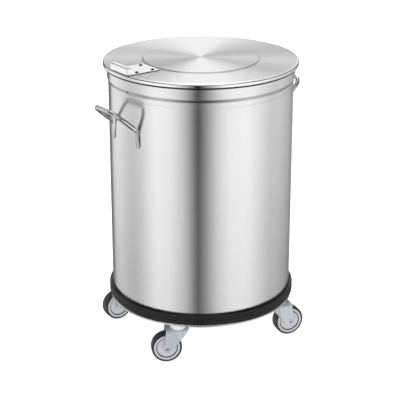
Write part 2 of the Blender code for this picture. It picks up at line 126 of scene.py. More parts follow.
def sweptShape(path, wide, deep, section):
    # a section carried along a path: path + wide times the section's first value + deep times its second
    grid = path[:, None] + wide[:, None] * section[..., 0, None] + deep[:, None] * section[..., 1, None]
    return dict(grid=grid, loop=False, ends=np.stack([grid[0].mean(0), grid[-1].mean(0)]))


def carried(shape, place):
    # the same shape with a placing function worked on all its points
    ends = None if shape["ends"] is None else place(shape["ends"])
    return dict(grid=place(shape["grid"]), loop=shape["loop"], ends=ends)


def skin(name, shape):
    # quads between neighbouring rows and columns, columns closed into rings, and a fan at each pole;
    # all faces turn over if the signed volume, the sum of a . (b x c), comes out negative
    grid = shape["grid"]
    rows, columns = grid.shape[:2]
    index = np.arange(rows * columns).reshape(rows, columns)
    lower = index if shape["loop"] else index[:-1]
    upper = np.roll(index, -1, 0) if shape["loop"] else index[1:]
    quads = together(lower, np.roll(lower, -1, 1), np.roll(upper, -1, 1), upper).reshape(-1, 4)
    # the UV map gives the length gone along the rows and the share of the way round
    gaps = np.linalg.norm(np.diff(grid[:, 0], axis=0, append=grid[:1, 0]), axis=-1)
    along = np.concatenate([[0.0], np.cumsum(gaps)])
    row, column = np.indices(lower.shape).reshape(2, -1, 1)
    quadUv = together(along[row + [0, 0, 1, 1]], (column + [0, 1, 1, 0]) / columns)
    points = grid.reshape(-1, 3)
    fans = np.zeros((0, 3), int)
    fanUv = np.zeros((0, 3, 2))
    if shape["ends"] is not None:
        points = np.vstack([points, shape["ends"]])
        ring = np.arange(columns)
        following = np.roll(ring, -1)
        near = together(following, ring, rows * columns)
        far = together(index[-1], index[-1][following], rows * columns + 1)
        fans = np.vstack([near, far])
        reach = np.linalg.norm(grid[[0, -1], 0] - shape["ends"], axis=-1)
        end = along[rows - 1]
        level = np.array([[0, 0, -reach[0]], [end, end, end + reach[1]]])
        turn = together(ring + 1, ring, ring + 0.5) / columns
        turns = np.vstack([turn, turn[:, [1, 0, 2]]])
        fanUv = together(np.repeat(level, columns, 0), turns)
    corners = points[np.vstack([quads[:, :3], quads[:, [0, 2, 3]], fans])]
    volume = np.einsum("ij,ij->", corners[:, 0], np.cross(corners[:, 1], corners[:, 2]))
    if volume < 0:
        quads, quadUv, fans, fanUv = quads[:, ::-1], quadUv[:, ::-1], fans[:, ::-1], fanUv[:, ::-1]
    mesh = bpy.data.meshes.new(name)
    mesh.from_pydata(points.tolist(), [], quads.tolist() + fans.tolist())
    uv = np.concatenate([quadUv.reshape(-1, 2), fanUv.reshape(-1, 2)])
    mesh.uv_layers.new(name="brushing").data.foreach_set("uv", uv.astype(np.float32).ravel())
    return mesh


def newObject(name, data):
    made = bpy.data.objects.new(name, data)
    bpy.context.scene.collection.objects.link(made)
    return made


def addPiece(name, form, finish, body, slot, *replaced):
    # a finished piece from a shape or a mesh, smooth but for edges sharper than the angle
    sharpAngle = 40
    mesh = skin(name, form) if isinstance(form, dict) else form
    piece = newObject(name, mesh)
    mesh.materials.append(finishes[finish])
    mesh.shade_smooth()
    mesh.set_sharp_from_angle(angle=math.radians(sharpAngle))
    piece.modifiers.new("evenShade", "WEIGHTED_NORMAL").keep_sharp = True
    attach(piece, body)
    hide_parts(*replaced)
    return piece


def addModifier(holder, kind, **settings):
    step = holder.modifiers.new(kind.lower(), kind)
    for key, value in settings.items():
        setattr(step, key, value)


def frozen(mesh, modify):
    # a mesh with modifiers worked in: modify(object) adds them and returns helpers to remove afterwards
    holder = newObject("holder", mesh)
    helpers = modify(holder)
    graph = bpy.context.evaluated_depsgraph_get()
    result = bpy.data.meshes.new_from_object(holder.evaluated_get(graph))
    for item in [holder] + helpers:
        bpy.data.objects.remove(item)
    return result


def bored(mesh, drills):
    # each drill shape is taken out of the mesh
    def modify(holder):
        helpers = []
        for drill in drills:
            cutter = newObject("drill", skin("drill", drill))
            cutter.hide_render = True
            addModifier(holder, "BOOLEAN", operation="DIFFERENCE", solver="EXACT", object=cutter)
            helpers.append(cutter)
        return helpers
    return frozen(mesh, modify)


# Finishes: grain and cloud noise steer colour, roughness and a fine bump

def setSockets(tree, node, values):
    # a socket given as value is linked, anything else is set directly
    for key, value in values.items():
        if isinstance(value, bpy.types.NodeSocket):
            tree.links.new(value, node.inputs[key])
        else:
            node.inputs[key].default_value = value


def addNode(tree, kind, values=None, **settings):
    node = tree.nodes.new("ShaderNode" + kind)
    for key, value in settings.items():
        setattr(node, key, value)
    setSockets(tree, node, values or {})
    return node


def calc(tree, operation, *values):
    return addNode(tree, "Math", dict(enumerate(values)), operation=operation).outputs[0]


def remap(tree, value, low, high, toLow, toHigh, easing="LINEAR"):
    values = {"Value": value, "From Min": low, "From Max": high, "To Min": toLow, "To Max": toHigh}
    return addNode(tree, "MapRange", values, interpolation_type=easing).outputs[0]


noise = dict(low=0.33, high=0.67, grainDetail=4.0, cloudDetail=3.0)


def makeFinish(name, look):
    # grain and cloud noise, mixed by a share, lead from dark and smooth to light and rough
    material = bpy.data.materials.new(name)
    material.use_nodes = True
    tree = material.node_tree
    shader = tree.nodes["Principled BSDF"]
    spot = addNode(tree, "TexCoord").outputs["Object"]
    grainSpot = spot
    if look["rings"]:
        # spun grain: distance from the upright axis and height stand in for the place itself
        apart = addNode(tree, "SeparateXYZ", {0: spot}).outputs
        squares = [calc(tree, "POWER", apart[axis], 2.0) for axis in (0, 1)]
        radius = calc(tree, "SQRT", calc(tree, "ADD", *squares))
        grainSpot = addNode(tree, "CombineXYZ", {0: radius, 1: 0.0, 2: apart[2]}).outputs[0]
    grainSpot = addNode(tree, "Mapping", {"Vector": grainSpot, "Scale": look["grain"]}).outputs[0]
    grain, cloud = [
        addNode(tree, "TexNoise", {"Vector": place, "Scale": scale, "Detail": noise[detail]}).outputs["Fac"]
        for place, scale, detail in ((grainSpot, 1.0, "grainDetail"), (spot, look["cloud"], "cloudDetail"))]
    share = look["grainShare"]
    mixed = calc(tree, "ADD", calc(tree, "MULTIPLY", grain, share), calc(tree, "MULTIPLY", cloud, 1 - share))
    ramp = addNode(tree, "ValToRGB", {"Fac": mixed})
    for element, end, tone in zip(ramp.color_ramp.elements, ("low", "high"), ("dark", "light")):
        element.position = noise[end]
        element.color = (*look[tone], 1)
    rough = remap(tree, mixed, noise["low"], noise["high"], look["smooth"], look["rough"])
    bump = addNode(tree, "Bump", {"Strength": look["bump"], "Distance": look["relief"], "Height": grain})
    setSockets(tree, shader, {"Base Color": ramp.outputs["Color"], "Roughness": rough,
                              "Normal": bump.outputs["Normal"], **look["sockets"]})
    if "Anisotropic" in look["sockets"]:
        tangent = addNode(tree, "Tangent", direction_type="UV_MAP", uv_map="brushing")
        setSockets(tree, shader, {"Tangent": tangent.outputs[0]})
    return material


plain = dict(rings=False, grainShare=0.6, relief=0.0002, sockets={})
metal = dict(plain, sockets={"Metallic": 1.0})
brushed = dict(
    metal, dark=(0.685, 0.685, 0.688), light=(0.735, 0.735, 0.737), smooth=0.19, rough=0.24, bump=0.03,
    grain=(5.0, 5.0, 420.0), cloud=9.0, grainShare=0.7, sockets={"Metallic": 1.0, "Anisotropic": 0.75})
polished = dict(brushed, smooth=0.07, rough=0.12)
plated = dict(plain, grain=(900.0,) * 3, cloud=130.0, grainShare=0.4)
moulded = dict(plain, grain=(1400.0,) * 3, cloud=70.0, bump=0.06)
looks = dict(
    brushedDrumSteel=brushed,
    spunLidSteel=dict(
        brushed, dark=(0.685, 0.685, 0.69), smooth=0.325, rough=0.355, rings=True, grain=(420.0,) * 3,
        cloud=12.0, grainShare=0.75, sockets={"Metallic": 1.0, "Anisotropic": 0.99}),
    polishedLidEdge=polished,
    # painted shade: the lid's curled hem is darkened to stand in for the shadow in the gap under it
    darkLidHem=dict(polished, dark=(0.20, 0.20, 0.205), light=(0.26, 0.26, 0.265)),
    hookSheet=dict(
        metal, dark=(0.80, 0.80, 0.805), light=(0.87, 0.87, 0.872), smooth=0.07, rough=0.11,
        grain=(60.0, 900.0, 900.0), cloud=40.0, bump=0.012),
    polishedRod=dict(
        metal, dark=(0.70, 0.70, 0.705), light=(0.79, 0.79, 0.792), smooth=0.09, rough=0.16,
        grain=(700.0, 250.0, 700.0), cloud=40.0, bump=0.04),
    basePlateSheet=dict(
        metal, dark=(0.62, 0.62, 0.625), light=(0.72, 0.72, 0.722), smooth=0.22, rough=0.34,
        grain=(30.0, 300.0, 300.0), cloud=20.0, bump=0.05),
    darkRivet=dict(
        metal, dark=(0.03, 0.03, 0.034), light=(0.06, 0.06, 0.065), smooth=0.30, rough=0.45,
        grain=(900.0,) * 3, cloud=300.0, bump=0.1, relief=0.0001),
    zincPlate=dict(
        plated, dark=(0.54, 0.58, 0.62), light=(0.68, 0.71, 0.74), smooth=0.30, rough=0.44, bump=0.10,
        sockets={"Metallic": 0.35}),
    bearingSteel=dict(
        metal, dark=(0.60, 0.60, 0.61), light=(0.74, 0.74, 0.75), smooth=0.08, rough=0.16,
        grain=(1500.0,) * 3, cloud=400.0, bump=0.02, relief=0.0001),
    blackBumperRubber=dict(
        plain, dark=(0.007, 0.007, 0.009), light=(0.014, 0.0135, 0.016), smooth=0.36, rough=0.52,
        grain=(1200.0,) * 3, cloud=25.0, bump=0.12, sockets={"Specular IOR Level": 0.35}),
    greyWheelPlastic=dict(
        moulded, dark=(0.62, 0.62, 0.665), light=(0.70, 0.70, 0.745), smooth=0.32, rough=0.46,
        grainShare=0.4, sockets={"Specular IOR Level": 0.45}),
    darkGroovePlastic=dict(
        # painted shade: a dark finish for the recessed faces of wheel grooves and axle stars
        moulded, dark=(0.11, 0.10, 0.13), light=(0.16, 0.145, 0.18), smooth=0.4, rough=0.55),
    # painted highlight: the housing's zinc is lightened to near white to stand in for the bright crescents it
    # mirrors
    brightHousingZinc=dict(
        plated, dark=(0.90, 0.91, 0.92), light=(0.96, 0.965, 0.97), smooth=0.22, rough=0.34, bump=0.05,
        sockets={"Metallic": 0.1}),
    darkTyreRubber=dict(
        plain, dark=(0.020, 0.021, 0.023), light=(0.045, 0.046, 0.048), smooth=0.34, rough=0.55,
        grain=(1500.0,) * 3, cloud=90.0, grainShare=0.5, bump=0.15, sockets={"Specular IOR Level": 0.45}))
finishes = {name: makeFinish(name, look) for name, look in looks.items()}
print("finishes ready")


# Drum; in these dictionaries rounds are corner radii in the profile's order, and steps the runs of an arc

# swages: how far below the rim, how far out and how round the flare, collar, crease, band and plain wall are
drum = dict(wall=0.001, floor=0.0015, floorRise=0.012, fillet=0.012, bead=0.0027, rimBulge=0.0025,
            swages=[(0.0095, 0.0024, 0.004), (0.0318, 0.0024, 0.010), (0.0382, 0.0004, 0.010),
                    (0.0477, 0.0002, 0.006), (0.0507, 0.0, 0.006)],
            rounds=[0.0003, 0.0003, 0.0004], steps=6, curlSteps=20, sides=256)
low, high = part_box("container_body")
drumFoot, drumTop = low.z, high.z
drumRadius = high.x - 2 * drum["bead"] + drum["wall"] - drum["rimBulge"]
drumInside = drumRadius - drum["wall"]
floorTop = drumFoot + drum["floorRise"]


def drumProfile():
    # inside from the floor's middle up to the rim, over the rolled bead, down the swaged outside, in under
    drops, bulges, soft = [list(values) for values in zip(*drum["swages"])]
    beadCentre = (drumInside + drum["rimBulge"] + drum["bead"], drumTop - drum["bead"])
    tuck = math.degrees(math.acos((drum["bead"] - drum["wall"]) / drum["bead"])) - 180
    curl = arcPoints(beadCentre, drum["bead"], 180, tuck, drum["curlSteps"])
    inside, outside = [[(wall + bulge, drumTop - drop) for drop, bulge in zip(drops, bulges)]
                       for wall in (drumInside, drumRadius)]
    inner = [(0, floorTop), (drumInside, floorTop)] + inside[::-1] + [curl[0]]
    inner = roundedLine(inner, [drum["fillet"]] + soft[::-1], drum["steps"])
    under = floorTop - drum["floor"]
    outer = [curl[-1]] + outside + [(drumRadius, drumFoot), (drumInside, drumFoot), (drumInside, under)]
    outer = roundedLine(outer + [(0, under)], soft + drum["rounds"], drum["steps"])
    return np.vstack([inner[:-1], curl[:-1], outer])


addPiece("drum", turnedShape(drumProfile(), drum["sides"]), "brushedDrumSteel", "container", "stainless",
         "container_body")
print("drum made, radius", round(drumRadius, 4))


# Lid with its hook bracket

lid = dict(sheet=0.0006, crown=0.001, rise=0.0024, discRadius=0.121, step=0.0035, domeInset=0.0032,
           slopeWidth=0.0052, slopeDrop=0.0011, flare=0.0003, curl=0.0042, curlIn=0.0023, hemDepth=0.0036,
           drop=0.0015, hem=0.0050, hemShade=0.0034, polishShare=0.8, steps=8, sides=256, domePoints=24,
           rounds=[0.0016, 0.0016, 0.004, 0.0022, 0.0025, 0.0006, 0.0005, 0.0004, 0.0008, 0.0016, 0.004,
                   0.0016, 0.0016])
low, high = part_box("lid")
lidRadius, lidLow, lidPole = high.x, low.z - lid["drop"], high.z
discTop = lidPole - lid["crown"]
lidTop = discTop - lid["rise"]


def lidProfile():
    # the upper face from its middle out and down the skirt, round the folded hem, and back below the sheet
    sheet, disc, step = lid["sheet"], lid["discRadius"], lid["discRadius"] - lid["step"]
    spread = np.linspace(0, step - lid["domeInset"], lid["domePoints"])
    dome = together(spread, discTop + lid["crown"] * (1 - (spread / step) ** 2))
    skirt, inside = lidRadius - lid["flare"], lidRadius - lid["hemDepth"]
    slope, edge = skirt - lid["slopeWidth"], lidTop - lid["slopeDrop"]
    hemTop, stepIn = lidLow + lid["hem"], sheet / 3
    line = [dome[-1], (step, discTop), (disc, lidTop), (slope, lidTop), (skirt, edge),
            (lidRadius, lidLow + lid["curl"]), (lidRadius - lid["curlIn"], lidLow), (inside, lidLow),
            (inside, hemTop), (skirt - sheet, hemTop + sheet), (skirt - sheet, edge - sheet),
            (slope, lidTop - sheet), (disc - stepIn, lidTop - sheet), (step - stepIn, discTop - sheet),
            dome[-1] - (0, sheet)]
    rim = roundedLine(line, lid["rounds"], lid["steps"])
    return np.vstack([dome[:-1], rim, dome[::-1][1:] - (0, sheet)])


lidPan = addPiece("lidPan", turnedShape(lidProfile(), lid["sides"]), "spunLidSteel", "lid", "lid_stainless",
                  "lid")
# the turned-down edge is polished from the slope outwards, and its curled hem gets painted shade: a dark
# finish standing in for the shadow in the gap under the lid
for name in ("polishedLidEdge", "darkLidHem"):
    lidPan.data.materials.append(finishes[name])
centres = np.empty(len(lidPan.data.polygons) * 3)
lidPan.data.polygons.foreach_get("center", centres)
centres = centres.reshape(-1, 3)
onEdge = np.hypot(centres[:, 0], centres[:, 1]) > lidRadius - lid["polishShare"] * lid["slopeWidth"]
onPaintedShadeHem = onEdge & (centres[:, 2] < lidLow + lid["hemShade"])
lidPan.data.polygons.foreach_set("material_index", onEdge.astype(np.int32) + onPaintedShadeHem)

hook = dict(sheet=0.0015, corner=0.0030, lip=0.0095, edge=0.0005, steps=10, edgeSteps=4)
low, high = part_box("lid_hook")


def hookShape():
    # the strip's middle line lies on the lid, turns up at the edge and folds back; a rectangle with rounded
    # edges is carried along it
    half = hook["sheet"] / 2
    line = roundedLine([(high.x, low.z + half), (low.x + half, low.z + half), (low.x + half, high.z - half),
                        (low.x + hook["lip"], high.z - half)], [hook["corner"] - half] * 2, hook["steps"])
    path = together(line[:, 0], 0.0, line[:, 1])
    along = unit(np.gradient(path, axis=0))
    wide = np.array([(0.0, 1.0, 0.0)])
    corners = np.array([(-1, 0), (-1, -1), (1, -1), (1, 1), (-1, 1), (-1, 0)]) * (high.y, half)
    section = roundedLine(corners, [hook["edge"]] * 4, hook["edgeSteps"])[:-1]
    return sweptShape(path, wide, np.cross(along, wide), section[None])


addPiece("hookBracket", hookShape(), "hookSheet", "lid", "stainless", "lid_hook")

rivet = dict(head=0.0036, shank=0.0014, rise=0.0019, tail=0.001, domePoints=9, sides=32)
for number in range(1, 5):
    node = "lid_hook_rivet_%d" % number
    low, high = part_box(node)
    seat = high.z - rivet["tail"]
    under = low.z + rivet["tail"]
    # domed head: height falls off as the square of the radius; the set tail below is a flatter dome
    out = np.linspace(0, 1, rivet["domePoints"])
    head = together(rivet["head"] * out, seat + rivet["rise"] * (1 - out ** 2))
    tail = together(rivet["head"] * out, under - rivet["tail"] * (1 - out ** 3))[::-1]
    profile = np.vstack([head, [(rivet["shank"], seat), (rivet["shank"], under)], tail])
    middle = np.array([(low.x + high.x) / 2, (low.y + high.y) / 2, 0.0])
    shape = carried(turnedShape(profile, rivet["sides"]), lambda points: points + middle)
    addPiece("hookRivet%d" % number, shape, "darkRivet", "lid", "rivet_steel", node)
print("lid and hook made")


# Loop handles

handle = dict(rod=0.0047, footWidth=0.0056, neckWidth=0.0036, footDepth=0.0005, footSquare=8.0,
              footLength=0.034, tilt=49.0, bend=0.010, corner=0.026, gap=0.0003, inset=0.0052, tip=0.006,
              tipStart=0.02, flatUntil=0.028, roundFrom=0.050, crossing=0.02, sides=48, steps=14,
              pathPoints=260)
low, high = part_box("handle_right")
loopHalf = high.y - handle["inset"]
footLow = low.z


def handleShape(side):
    # a superellipse carried up the wall, out along the slope and round the loop; its half width, half depth
    # and power pass from the flattened foot to the round rod by a smooth step of the length gone
    tilt, rod = math.radians(handle["tilt"]), handle["rod"]
    seat = drumRadius + handle["gap"]
    footReach = math.sqrt((seat + handle["footDepth"]) ** 2 - loopHalf ** 2)
    rodReach = math.sqrt((seat + rod) ** 2 - loopHalf ** 2)
    knee = footLow + handle["footLength"] + handle["bend"] * math.tan(tilt / 2)
    loopReach = high.x - rod
    loopTop = knee + (loopReach - rodReach) / math.tan(tilt)
    leg = [(footReach, loopHalf, footLow), (rodReach, loopHalf, knee), (loopReach, loopHalf, loopTop)]
    corners = leg + [(out, -across, level) for out, across, level in leg[::-1]]
    line = roundedLine(corners, [handle["bend"], handle["corner"], handle["corner"], handle["bend"]],
                       handle["steps"])
    # even spacing along the whole line
    gone = np.concatenate([[0], np.cumsum(np.linalg.norm(np.diff(line, axis=0), axis=-1))])
    spots = np.linspace(0, gone[-1], handle["pathPoints"])
    path = together(*[np.interp(spots, gone, line[:, axis]) for axis in range(3)])
    along = unit(np.gradient(path, axis=0))
    # tilt from upright on the way up, and the full one from there on
    legTilt = np.clip(np.abs(np.arctan2(along[:, 0], along[:, 2])), 0, tilt)
    legTilt = np.where(np.abs(along[:, 1]) > handle["crossing"], tilt, legTilt)
    fromEnd = np.minimum(spots, spots[-1] - spots)
    roundness = np.clip((fromEnd - handle["flatUntil"]) / (handle["roundFrom"] - handle["flatUntil"]), 0, 1)
    roundness = roundness ** 2 * (3 - 2 * roundness)
    # the flat foot turns to face the curved wall there
    wallTurn = np.sign(path[:, 1]) * math.asin(loopHalf / seat) * (1 - roundness)
    inward = together(-np.cos(wallTurn), -np.sin(wallTurn), 0.0)
    deep = inward * np.cos(legTilt)[:, None] + np.array([0, 0, 1]) * np.sin(legTilt)[:, None]
    deep = unit(deep - along * np.sum(deep * along, -1, keepdims=True))
    blunt = np.sqrt(1 - (1 - np.clip(fromEnd / handle["tip"] + handle["tipStart"], 0, 1)) ** 2)
    spread = np.clip(fromEnd / handle["flatUntil"], 0, 1)
    flatWidth = handle["footWidth"] + (handle["neckWidth"] - handle["footWidth"]) * spread
    halves = [blunt * (flat + (rod - flat) * roundness) for flat in (flatWidth, handle["footDepth"])]
    turn = fullTurn(handle["sides"])
    power = 2 / (handle["footSquare"] + (2 - handle["footSquare"]) * roundness[:, None])
    section = together(*[half[:, None] * np.sign(wave) * np.abs(wave) ** power
                         for half, wave in zip(halves, (np.cos(turn), np.sin(turn)))])
    shape = sweptShape(path, np.cross(along, deep), deep, section)
    return carried(shape, lambda points: points * (side, side, 1))


for name, node, side in (("handleRight", "handle_right", 1), ("handleLeft", "handle_left", -1)):
    addPiece(name, handleShape(side), "polishedRod", "container", "handle_stainless", node)
print("handles made")


# Bumper ring and base plate

bumper = dict(thickness=0.0066, trimTop=0.001, trimFoot=0.0025, grooveDepth=0.001, grooveHeight=0.0024,
              groovePitch=0.006, rounds=[0.0006, 0.002] + [0.0004, 0.0003, 0.0004] * 2 + [0.002, 0.0006],
              steps=6, sides=256)
low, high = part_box("bumper_ring")


def bumperShape():
    # a rounded block with two shallow grooves round its outer face
    outer, inner = high.x, high.x - bumper["thickness"]
    top, foot = high.z - bumper["trimTop"], low.z + bumper["trimFoot"]
    middle = (top + foot) / 2
    line = [(inner, middle), (inner, top), (outer, top)]
    for level in (middle + bumper["groovePitch"] / 2, middle - bumper["groovePitch"] / 2):
        line += [(outer, level + bumper["grooveHeight"] / 2), (outer - bumper["grooveDepth"], level),
                 (outer, level - bumper["grooveHeight"] / 2)]
    line += [(outer, foot), (inner, foot), (inner, middle)]
    return turnedLine(line, bumper)


addPiece("bumper", bumperShape(), "blackBumperRubber", "container", "bumper_rubber", "bumper_ring")

plate = dict(sheet=0.0015, hole=0.0045, drill=0.006, rounds=[0.0027, 0.000675, 0.000675, 0.0012], steps=6,
             sides=256)
low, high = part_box("base_plate")
castorNames = ["castor_%d_" % number for number in range(1, 5)]


def plateProfile():
    # a flat disc whose edge turns down
    top, under, outer, inner = high.z, high.z - plate["sheet"], high.x, high.x - plate["sheet"]
    line = [(0, top), (outer, top), (outer, low.z), (inner, low.z), (inner, under), (0, under)]
    return roundedLine(line, plate["rounds"], plate["steps"])


# a bolt hole at each castor's swivel axis
middle = high.z - plate["sheet"] / 2
drills = [carried(drillShape(plate["hole"], plate["drill"]),
                  lambda points: points + (*jointAt[name + "swivel"][:2], middle)) for name in castorNames]
plateMesh = bored(skin("basePlate", turnedShape(plateProfile(), plate["sides"])), drills)
addPiece("basePlate", plateMesh, "basePlateSheet", "container", "stainless", "base_plate")
print("bumper and base plate made")


# Castors: each shape is made once about its swivel axis, trail along x, and carried to its four places

swivelAt, rollAt = jointAt["castor_1_swivel"], jointAt["castor_1_roll"]
trail = float(np.hypot(*(rollAt - swivelAt)[:2]))
axleZ, crownTop = rollAt[2], swivelAt[2]


def castorPlace(name):
    # a turn about the upright axis to where the castor trails, then a shift to its bolt
    base = jointAt[name + "swivel"]
    ahead = (jointAt[name + "roll"] - base)[:2] / trail
    turn = np.array([[ahead[0], -ahead[1], 0], [ahead[1], ahead[0], 0], [0, 0, 1]])
    return lambda points: points @ turn.T + (base[0], base[1], 0)


def onAxle(points):
    # from the upright axis to the axle: height becomes the way along it
    return together(points[..., 0] + trail, points[..., 2], points[..., 1] + axleZ)


fork = dict(sheet=0.0025, bend=0.003, front=0.0205, rim=0.0045, legEnd=0.0072, footTurn=135.0, wrap=58.0,
            creaseDepth=0.0017, creaseAt=0.27, creaseWidth=0.10, lean=0.005, outside=0.01545, footPoints=14,
            slantPoints=10, frontSteps=36, foldPoints=7, hangPoints=9, acrossPoints=9, weld=0.00002,
            edge=0.0003, edgeSteps=2, edgeAngle=60, drill=0.01125)
kingpin = dict(radius=0.006, run=0.00035, bore=0.0045, flange=0.009, flangeHeight=0.0018, gap=0.0003,
               rounds=[0.0002, 0.0002, 0.0003, 0.0004, 0.0006, 0.0003], steps=4, sides=64)
axle = dict(radius=0.0031, head=0.0052, headHeight=0.0016, headPoints=15, headFall=0.75, headFrom=0.0002,
            starDepth=0.0012, starReach=0.0055, starCore=0.0008, armGain=2.4, armCut=1.4, darkFrom=0.18,
            gap=0.0003, sides=96)
crownUnder = crownTop - fork["sheet"]


def forkMesh():
    # a pressed sheet: the crown's outline runs from the leg's foot up its slant and round the front; at each
    # spot of it the sheet hangs down to the outline's lower end, bends over the edge and crosses the crown
    outside, front, bend = fork["outside"], fork["front"], fork["bend"]
    foot = np.radians(np.linspace(0, fork["footTurn"], fork["footPoints"]))
    footX = trail + fork["legEnd"] * np.cos(foot)
    footZ = axleZ - fork["legEnd"] * np.sin(foot)
    slantX = np.linspace(footX[-1], 0, fork["slantPoints"])[1:]
    turn = np.linspace(0, math.pi / 2, fork["frontSteps"] + 1)[1:]
    legX = np.concatenate([footX, slantX])
    # an ellipse with an upright crease pressed in beside each leg: depth times a bell curve of the turn
    crease = fork["creaseDepth"] * np.exp(-((turn - fork["creaseAt"]) / fork["creaseWidth"]) ** 2)
    bow = together(-front * np.sin(turn), outside * np.cos(turn) - crease)
    edge = np.vstack([together(legX, outside), bow])
    normal = unit(together(np.sin(turn) * outside, -np.cos(turn) * front))
    normal = np.vstack([together(0 * legX, -1.0), normal])
    # the lower end rises evenly with the length gone, up to the shallow rim at the front
    gone = np.concatenate([footX[-1] - slantX, footX[-1] + front * turn])
    run = footX[-1] + front * math.radians(fork["wrap"])
    rise = footZ[-1] + (crownTop - fork["rim"] - footZ[-1]) * np.clip(gone / run, 0, 1)
    edgeZ = np.concatenate([footZ, rise])
    fold = np.linspace(0, math.pi / 2, fork["foldPoints"])
    hang = np.linspace(0, 1, fork["hangPoints"])[:-1]
    inset = np.concatenate([0 * hang, bend * (1 - np.cos(fold))])
    bendZ = crownTop - bend
    drop = edgeZ[:, None] + (bendZ - edgeZ[:, None]) * hang
    over = np.tile(bendZ + bend * np.sin(fold), (len(edge), 1))
    side = edge[:, None] + normal[:, None] * inset[:, None]
    left = np.concatenate([side, np.concatenate([drop, over], 1)[..., None]], -1)
    across = np.linspace(0, 1, fork["acrossPoints"])[1:-1, None]
    top = left[:, -1:] + (left[:, -1:] * (1, -1, 1) - left[:, -1:]) * across
    grid = np.concatenate([left, top, left[:, ::-1] * (1, -1, 1)], 1)
    # the legs lean forward with height, most at their hind edge
    behind = np.clip(grid[..., 0] / (trail + fork["legEnd"]), 0, 1)
    grid[..., 0] -= fork["lean"] * behind * np.clip((grid[..., 2] - axleZ) / (crownTop - axleZ), 0, 1)
    rows, columns = grid.shape[:2]
    index = np.arange(rows * columns).reshape(rows, columns)
    quads = together(index[:-1, :-1], index[:-1, 1:], index[1:, 1:], index[1:, :-1]).reshape(-1, 4)
    mesh = bpy.data.meshes.new("fork")
    mesh.from_pydata(grid.reshape(-1, 3).tolist(), [], quads.tolist())

    def modify(holder):
        # both sides meet at the front, the sheet grows inwards, and its edges are eased
        addModifier(holder, "WELD", merge_threshold=fork["weld"])
        addModifier(holder, "SOLIDIFY", thickness=fork["sheet"], offset=-1.0, use_even_offset=True)
        addModifier(holder, "BEVEL", width=fork["edge"], segments=fork["edgeSteps"], limit_method="ANGLE",
                    angle_limit=math.radians(fork["edgeAngle"]))
        return []

    crown = (0, 0, (crownTop + crownUnder) / 2)
    hole = drillShape(kingpin["radius"] + kingpin["run"], fork["drill"])
    bore = drillShape(axle["radius"], 2 * outside)
    drills = [carried(hole, lambda points: points + crown), carried(bore, onAxle)]
    return bored(frozen(mesh, modify), drills)


def axleShape():
    # half a section from the middle of the head's end out to its rim and in to the shank, mirrored; then four
    # wedges press the head in, by depth times how near the turn is to a cross arm, fading along the arm; the
    # pressed faces are marked for painted shade
    half = fork["outside"] + axle["gap"]
    out = np.linspace(0, 1, axle["headPoints"])
    head = together(axle["head"] * out, half + axle["headHeight"] * (1 - out ** 4 * axle["headFall"]))
    upper = np.vstack([head, [(axle["head"], half), (axle["radius"], half)]])
    shape = turnedShape(np.vstack([upper, upper[::-1] * (1, -1)]), axle["sides"])
    grid = shape["grid"]
    radius = np.hypot(grid[..., 0], grid[..., 1])
    turn = np.arctan2(grid[..., 1], grid[..., 0])
    arm = np.clip(np.abs(np.cos(2 * turn)) * axle["armGain"] - axle["armCut"], 0, 1)
    fade = np.sqrt(np.clip(1 - radius / axle["starReach"], 0, 1)) * np.clip(radius / axle["starCore"], 0, 1)
    pressed = arm * fade * (np.abs(grid[..., 2]) > half + axle["headFrom"])
    grid[..., 2] -= np.sign(grid[..., 2]) * axle["starDepth"] * pressed
    following = np.roll(pressed, -1, 1)
    paintedShadeStar = (pressed[:-1] + pressed[1:] + following[:-1] + following[1:]) / 4 > axle["darkFrom"]
    return carried(shape, onAxle), paintedShadeStar.astype(np.int32).ravel()


wheel = dict(face=0.01075, core=0.0272, rim=0.0047, groove=0.0016, grooveDepth=0.0045, dish=0.0012,
             ringRadius=0.0125, ringRise=0.0004, ringWidth=0.0007, hub=0.0078, hubRise=0.0004,
             hubSoft=0.00015, bore=0.00535, boreEdge=0.0005, discEdge=0.0008, discPoints=60,
             rounds=[0.0006, 0.0006, 0.0006, 0.0006, 0.0005], steps=5, sides=128,
             shadeOut=0.0002, shadeIn=0.0003, shadeDepth=0.0016)


def wheelShape():
    # half the section: hub, dished disc with a raised ring, groove, rim; mirrored for the other side; faces
    # between rim and disc that lie below the wheel's face are marked with one for painted shade, all others
    # with nought
    face, core, bore = wheel["face"], wheel["core"], wheel["bore"]
    grooveOut = core - wheel["rim"]
    grooveIn = grooveOut - wheel["groove"]
    floor = face - wheel["grooveDepth"]
    out = np.linspace(bore + wheel["boreEdge"], grooveIn - wheel["discEdge"], wheel["discPoints"])
    dish = face - wheel["dish"] * (out - bore) / (grooveIn - bore)
    ring = wheel["ringRise"] * np.exp(-((out - wheel["ringRadius"]) / wheel["ringWidth"]) ** 2)
    hub = wheel["hubRise"] / (1 + np.exp((out - wheel["hub"]) / wheel["hubSoft"]))
    disc = together(out, dish + ring + hub - wheel["hubRise"])
    edge = roundedLine([disc[-1], (grooveIn, disc[-1, 1]), (grooveIn, floor), (grooveOut, floor),
                        (grooveOut, face), (core, face), (core, 0)], wheel["rounds"], wheel["steps"])
    section = mirroredHalf(np.vstack([[(bore, 0), (bore, disc[0, 1] - wheel["boreEdge"])], disc[:-1], edge]))
    radius, height = ((section + np.roll(section, -1, 0)) / 2).T
    # faces deep in the groove get painted shade
    inside = (radius > grooveIn - wheel["shadeIn"]) & (radius < grooveOut + wheel["shadeOut"])
    inside &= np.abs(height) < face - wheel["shadeDepth"]
    shape = carried(turnedShape(section, wheel["sides"]), onAxle)
    return shape, np.repeat(inside.astype(np.int32), wheel["sides"])


tyre = dict(inner=0.0275, outer=0.032, crown=0.0005, crownShare=0.6, shoulder=0.0020,
            rounds=[0.0004, 0.0018], steps=8, treadPoints=7, sides=128)


